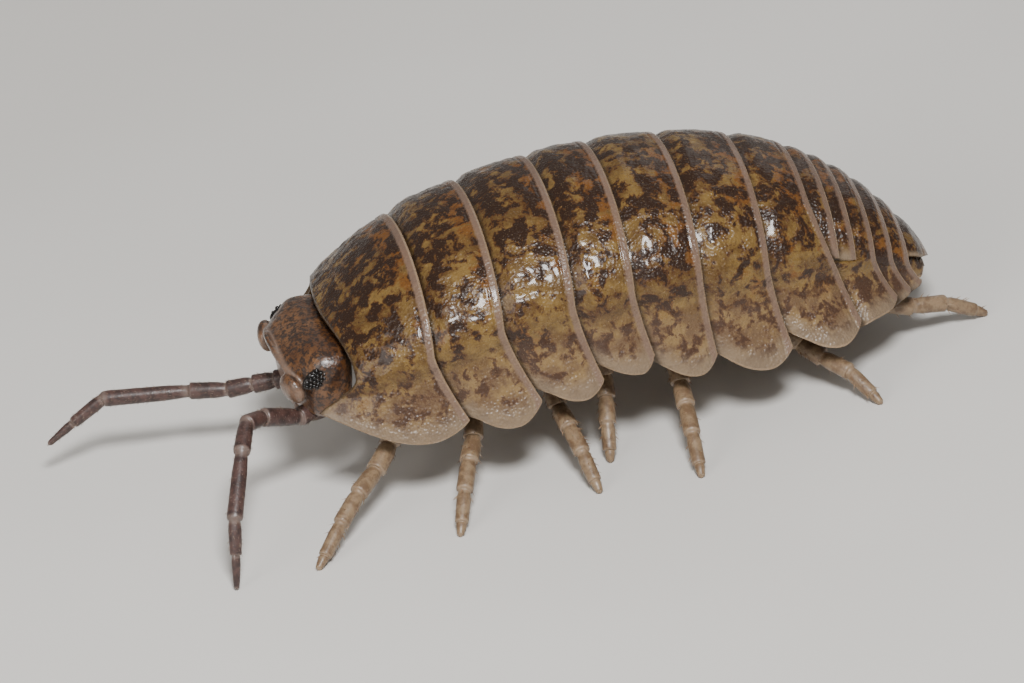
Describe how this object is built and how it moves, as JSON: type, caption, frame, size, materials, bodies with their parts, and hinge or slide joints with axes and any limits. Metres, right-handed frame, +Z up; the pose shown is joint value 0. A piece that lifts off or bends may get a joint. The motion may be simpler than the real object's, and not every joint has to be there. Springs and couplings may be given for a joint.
{
  "type": "pill woodlouse",
  "caption": "Life-size pill woodlouse in walking pose: arched back of overlapping shell plates, rounded head with black eyes, jointed feelers and slender legs.",
  "frame": {"origin": "middle of the animal's outline on the floor it stands on", "axes": "+Z up, the head points to -Y, the animal's own left side is at +X"},
  "size_m": [0.01, 0.0218, 0.006],
  "materials": {
    "shell": "glossy, finely grained shell, olive brown with dark mottling and pale edges",
    "flesh": "soft pale underside skin",
    "limb": "satin, slightly translucent beige brown",
    "feeler": "satin dark purplish brown with pale joints",
    "eye": "glossy black facets"
  },
  "bodies": {
    "root": {"pereonite_1": "shell", "pereonite_2": "shell", "pereonite_3": "shell", "pereonite_4": "shell", "pereonite_5": "shell", "pereonite_6": "shell", "pereonite_7": "shell", "pleonite_1": "shell", "pleonite_2": "shell", "pleonite_3": "shell", "pleonite_4": "shell", "pleonite_5": "shell", "pleotelson": "shell", "uropod_left": "shell", "uropod_right": "shell", "trunk": "flesh", "pleopods": "flesh", "head": "shell", "eye_left": "eye", "eye_right": "eye", "mouthparts": "flesh", "antenna_left": "feeler", "leg_left_1": "limb", "leg_left_2": "limb", "leg_left_3": "limb", "leg_left_4": "limb", "leg_left_5": "limb", "leg_left_6": "limb", "leg_left_7": "limb", "antenna_right": "feeler", "leg_right_1": "limb", "leg_right_2": "limb", "leg_right_3": "limb", "leg_right_4": "limb", "leg_right_5": "limb", "leg_right_6": "limb", "leg_right_7": "limb"}
  },
  "joints": []
}
